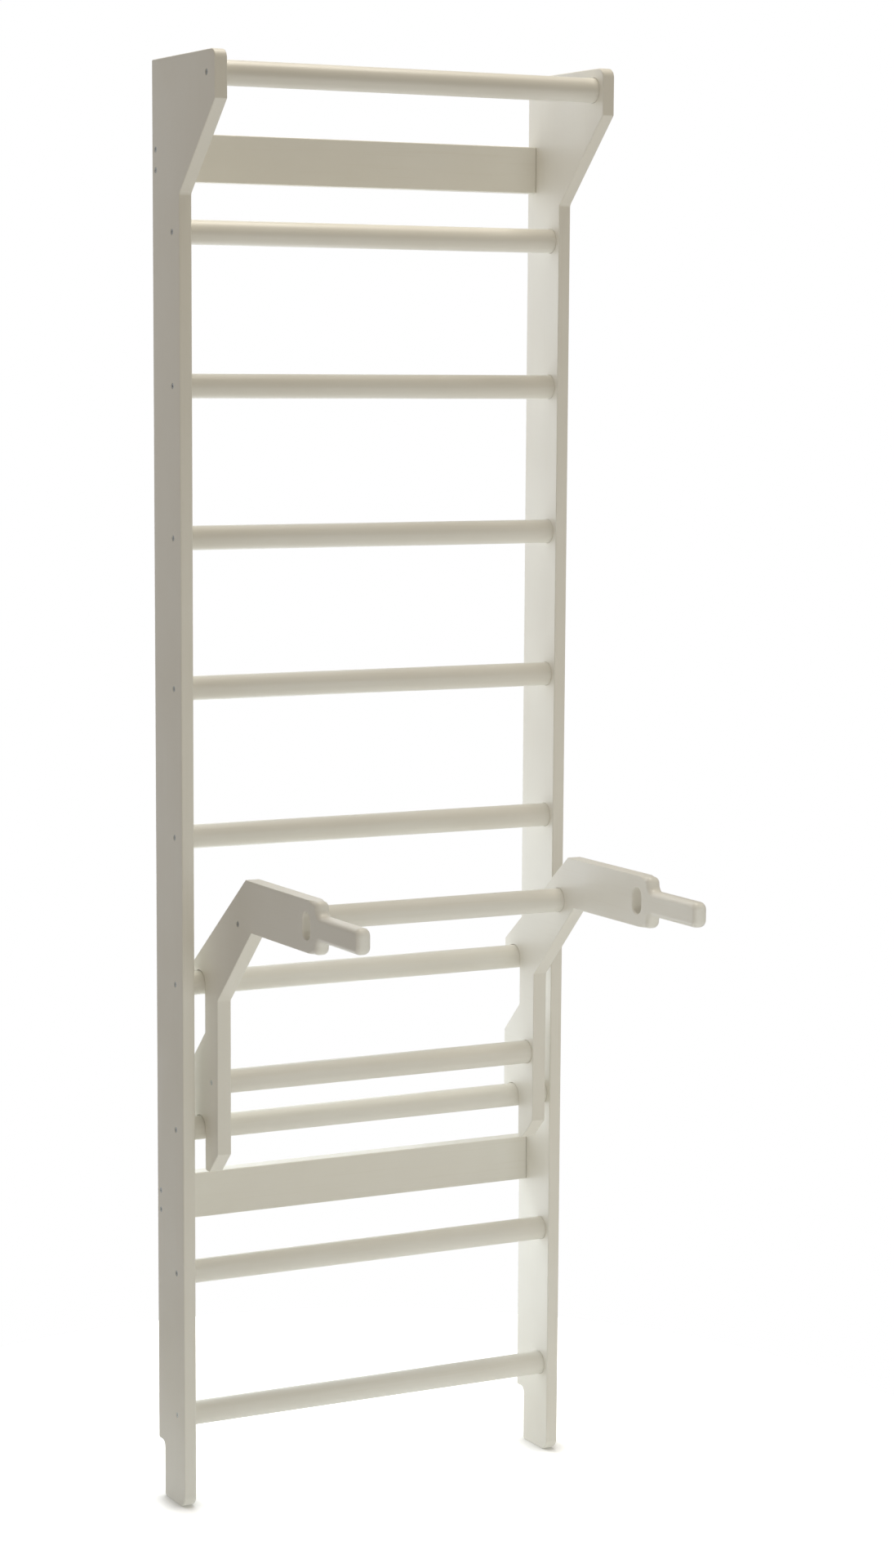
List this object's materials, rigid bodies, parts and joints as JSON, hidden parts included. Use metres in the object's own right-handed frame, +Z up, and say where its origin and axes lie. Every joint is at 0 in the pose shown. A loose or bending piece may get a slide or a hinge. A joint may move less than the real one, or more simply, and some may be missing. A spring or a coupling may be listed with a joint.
{
  "type": "wall bars with dip unit",
  "caption": "Gymnastic wall bars: two uprights with heads that lean forward, round rungs between them, two flat wall rails, and a hook-on dip unit with two handles.",
  "frame": {"origin": "on the floor line, on the plane of the wall, midway between the uprights", "axes": "+Z up, -Y out from the wall towards the user, +X to the right of someone facing the bars"},
  "size_m": [0.7, 0.646, 2.326],
  "materials": {
    "upright_lacquer": "white satin lacquer on wood boards",
    "bar_lacquer": "white satin lacquer on turned wood bars",
    "rail_lacquer": "white satin lacquer on wood rails",
    "dip_plate_lacquer": "white satin lacquer on wood plates",
    "screw_zinc": "bright zinc plate"
  },
  "bodies": {
    "frame": {"upright_left": "upright_lacquer", "upright_right": "upright_lacquer", "top_bar": "bar_lacquer", "rung_1": "bar_lacquer", "rung_2": "bar_lacquer", "rung_3": "bar_lacquer", "rung_4": "bar_lacquer", "rung_5": "bar_lacquer", "rung_6": "bar_lacquer", "rung_7": "bar_lacquer", "rung_8": "bar_lacquer", "rung_9": "bar_lacquer", "rail_top": "rail_lacquer", "rail_bottom": "rail_lacquer", "screw_top_bar_left": "screw_zinc", "screw_rung_1_left": "screw_zinc", "screw_rung_2_left": "screw_zinc", "screw_rung_3_left": "screw_zinc", "screw_rung_4_left": "screw_zinc", "screw_rung_5_left": "screw_zinc", "screw_rung_6_left": "screw_zinc", "screw_rung_7_left": "screw_zinc", "screw_rung_8_left": "screw_zinc", "screw_rung_9_left": "screw_zinc", "screw_rail_top_a_left": "screw_zinc", "screw_rail_top_b_left": "screw_zinc", "screw_rail_bottom_a_left": "screw_zinc", "screw_rail_bottom_b_left": "screw_zinc", "screw_top_bar_right": "screw_zinc", "screw_rung_1_right": "screw_zinc", "screw_rung_2_right": "screw_zinc", "screw_rung_3_right": "screw_zinc", "screw_rung_4_right": "screw_zinc", "screw_rung_5_right": "screw_zinc", "screw_rung_6_right": "screw_zinc", "screw_rung_7_right": "screw_zinc", "screw_rung_8_right": "screw_zinc", "screw_rung_9_right": "screw_zinc", "screw_rail_top_a_right": "screw_zinc", "screw_rail_top_b_right": "screw_zinc", "screw_rail_bottom_a_right": "screw_zinc", "screw_rail_bottom_b_right": "screw_zinc"},
    "dip_unit": {"dip_plate_left": "dip_plate_lacquer", "dip_plate_right": "dip_plate_lacquer", "dip_bar_upper": "bar_lacquer", "dip_bar_lower": "bar_lacquer", "screw_dip_bar_upper_left": "screw_zinc", "screw_dip_bar_lower_left": "screw_zinc", "screw_dip_bar_upper_right": "screw_zinc", "screw_dip_bar_lower_right": "screw_zinc"}
  },
  "joints": [
    {"name": "dip_unit_lift", "type": "slide", "parent": "frame", "child": "dip_unit", "axis": [0, 0, 1], "range_m": [0, 0.06]}
  ]
}
